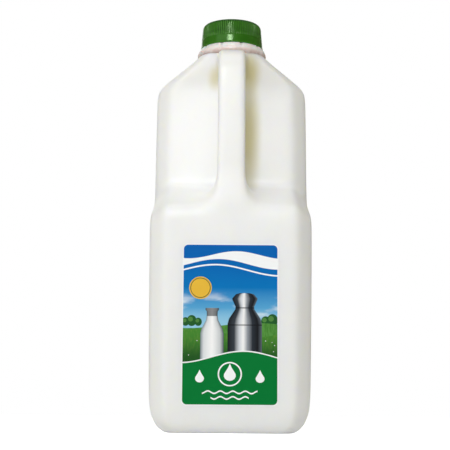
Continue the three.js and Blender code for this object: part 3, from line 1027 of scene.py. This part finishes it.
class MilkJugSettings(bpy.types.PropertyGroup):
    """Sizes and colours of the jug."""

    smoothing: IntProperty(
        name="Smoothing", description="Subdivision levels of the jug's skin", default=3, min=1, max=4
    )
    plastic: tint("Plastic", "Colour of the plastic with milk behind it", (0.905, 0.908, 0.9))
    warm_plastic: tint("Warm plastic", "Colour of the plastic's warmer clouds", (0.9, 0.897, 0.865))
    # Painted shade for the pockets beside the handle and the handle's shadow on the grip's face.
    painted_shade: tint("Thin plastic", "Colour of the thin folds beside the handle", (0.6, 0.52, 0.17))
    # Painted shade that darkens the shoulder.
    painted_shoulder_shade: tint("Shoulder", "Colour of the plastic of the shoulder", (0.87, 0.865, 0.845))
    # Painted light that whitens the ledge and the grip's face.
    painted_light: tint("Thick plastic", "Colour of the thick plastic of the ledge", (0.99, 0.985, 0.975))
    bead: tint("Bead", "Colour of the top of the neck bead", (0.88, 0.77, 0.74))
    # Partly the bead's own pink, partly painted shade on the bead's lower edge.
    bead_shade: tint("Bead underside", "Colour of the lower edge of the neck bead", (0.58, 0.42, 0.38))
    ribs: IntProperty(name="Ribs", description="Ribs round the cap", default=96, min=12, max=160)
    rib_depth: FloatProperty(
        name="Rib depth", description="Depth of the grooves between the cap's ribs",
        unit="LENGTH", default=0.4 * MM,
    )
    cap: tint("Cap", "Colour of the cap", (0.022, 0.125, 0.006))
    # The cap's paler clouds, and the painted highlight on the ribs' crests and the rim.
    cap_pale_and_highlight: tint("Worn cap", "Colour of the cap where it is rubbed, and of its rim", (0.055, 0.2, 0.02))
    # Painted shade in the grooves between the cap's ribs.
    cap_groove_shade: tint("Cap groove", "Colour between the cap's ribs", (0.012, 0.085, 0.004))
    label_corner: FloatProperty(
        name="Label corner", description="Radius of the label's corners", unit="LENGTH", default=3.2 * MM
    )
    sky: tint("Sky", "Colour of the top of the label", (0.0, 0.12, 0.45))
    gold: tint("Gold", "Colour of the sun on the label", (0.83, 0.5, 0.05))
    grass: tint("Grass", "Colour of the near field on the label", (0.06, 0.24, 0.03))
    panel: tint("Panel", "Colour of the panel at the foot of the label", (0.0, 0.19, 0.035))


class JUG_OT_stage(bpy.types.Operator):
    """Sets up the floor, the light and the camera"""

    bl_idname = "milk_jug.stage"
    bl_label = "Stage"

    def execute(self, context):
        scene = context.scene
        bpy.ops.object.select_all(action="DESELECT")
        bpy.ops.mesh.primitive_plane_add(size=6)
        floor = bpy.context.object
        floor.name = "floor"
        floor.data.materials.append(pale_floor())
        scene.world = studio_air()
        soft_box("key", azimuth=-7, height=28, distance=1.3, size=0.34, power=6.2)
        soft_box("fill", azimuth=-34, height=24, distance=1.3, size=1.2, power=3.8)
        soft_box("top", azimuth=-5, height=78, distance=1.3, size=0.6, power=3.4)
        soft_box("left", azimuth=-62, height=5, distance=1.3, size=0.9, power=1.4, mirrored=False)
        soft_box("right", azimuth=62, height=15, distance=1.3, size=0.9, power=0.7, mirrored=False)
        soft_box("back", azimuth=185, height=22, distance=1.5, size=1.2, power=5)
        soft_box("back left", azimuth=-128, height=14, distance=1.5, size=0.7, power=1.8, mirrored=False)
        soft_box("back right", azimuth=128, height=14, distance=1.5, size=0.7, power=2.8, mirrored=False)
        add_camera(scene)
        scene.view_settings.view_transform = "Standard"
        return {"FINISHED"}


def pale_floor():
    """White that shows a little brighter than it lights, to meet the white air without a line."""
    material, tree, shader = new_material("pale_floor")
    shader.inputs["Base Color"].default_value = (0.7, 0.7, 0.7, 1)
    shader.inputs["Roughness"].default_value = 0.8
    shader.inputs["Emission Color"].default_value = (1, 1, 1, 1)
    path = tree.nodes.new("ShaderNodeLightPath")
    glow = calculate(tree, "MULTIPLY_ADD", path.outputs["Is Camera Ray"], 0.8, 0.19)
    feed(tree, shader.inputs["Emission Strength"], glow)
    return material


def studio_air():
    """White behind the jug, and a softer light from all round on it."""
    world = bpy.data.worlds.new("studio")
    world.use_nodes = True
    nodes = world.node_tree.nodes
    links = world.node_tree.links
    path = nodes.new("ShaderNodeLightPath")
    mix = nodes.new("ShaderNodeMix")
    mix.data_type = "RGBA"
    mix.inputs["A"].default_value = AIR_COLOUR
    mix.inputs["B"].default_value = (1, 1, 1, 1)
    links.new(path.outputs["Is Camera Ray"], mix.inputs["Factor"])
    links.new(mix.outputs["Result"], nodes["Background"].inputs["Color"])
    return world


def soft_box(name, azimuth, height, distance, size, power, mirrored=True):
    """A square light aimed at the jug, its azimuth and height in degrees from the front. One that
    isn't mirrored lights the jug without a reflection of its own in the gloss."""
    turn, rise = math.radians(azimuth), math.radians(height)
    away = Vector((math.sin(turn) * math.cos(rise), -math.cos(turn) * math.cos(rise), math.sin(rise)))
    bpy.ops.object.light_add(type="AREA", location=Vector(LIGHT_TARGET) + away * distance)
    light = bpy.context.object
    light.name = name
    light.data.size = size
    light.data.energy = power
    light.data.color = LIGHT_COLOUR
    light.visible_glossy = mirrored
    light.rotation_euler = (-away).to_track_quat("-Z", "Y").to_euler()


def add_camera(scene):
    """The camera, low in front of the jug and looking up at it a little."""
    bpy.ops.object.camera_add(
        location=[place * MM for place in CAMERA_PLACE],
        rotation=(math.radians(90 + CAMERA_PITCH), math.radians(CAMERA_ROLL), 0),
    )
    camera = bpy.context.object
    camera.data.lens = CAMERA_LENS
    camera.data.sensor_width = CAMERA_SENSOR
    scene.camera = camera


class JUG_PT_panel(bpy.types.Panel):
    """Lists the jug's pieces and its stage"""

    bl_idname = "JUG_PT_panel"
    bl_label = "Milk Jug"
    bl_space_type = "VIEW_3D"
    bl_region_type = "UI"
    bl_category = "Milk Jug"

    def draw(self, context):
        for operator in OPERATORS:
            self.layout.operator(operator.bl_idname)


OPERATORS = (JUG_OT_body, JUG_OT_neck_bead, JUG_OT_cap, JUG_OT_label, JUG_OT_stage)
CLASSES = (MilkJugSettings, *OPERATORS, JUG_PT_panel)


def register():
    for cls in CLASSES:
        bpy.utils.register_class(cls)
    bpy.types.Scene.milk_jug = PointerProperty(type=MilkJugSettings)


def unregister():
    del bpy.types.Scene.milk_jug
    for cls in reversed(CLASSES):
        bpy.utils.unregister_class(cls)


def main():
    """Models every piece and the stage."""
    register()
    bpy.ops.milk_jug.body()
    bpy.ops.milk_jug.neck_bead()
    bpy.ops.milk_jug.cap()
    bpy.ops.milk_jug.label()
    bpy.ops.milk_jug.stage()


if __name__ == "__main__":
    main()
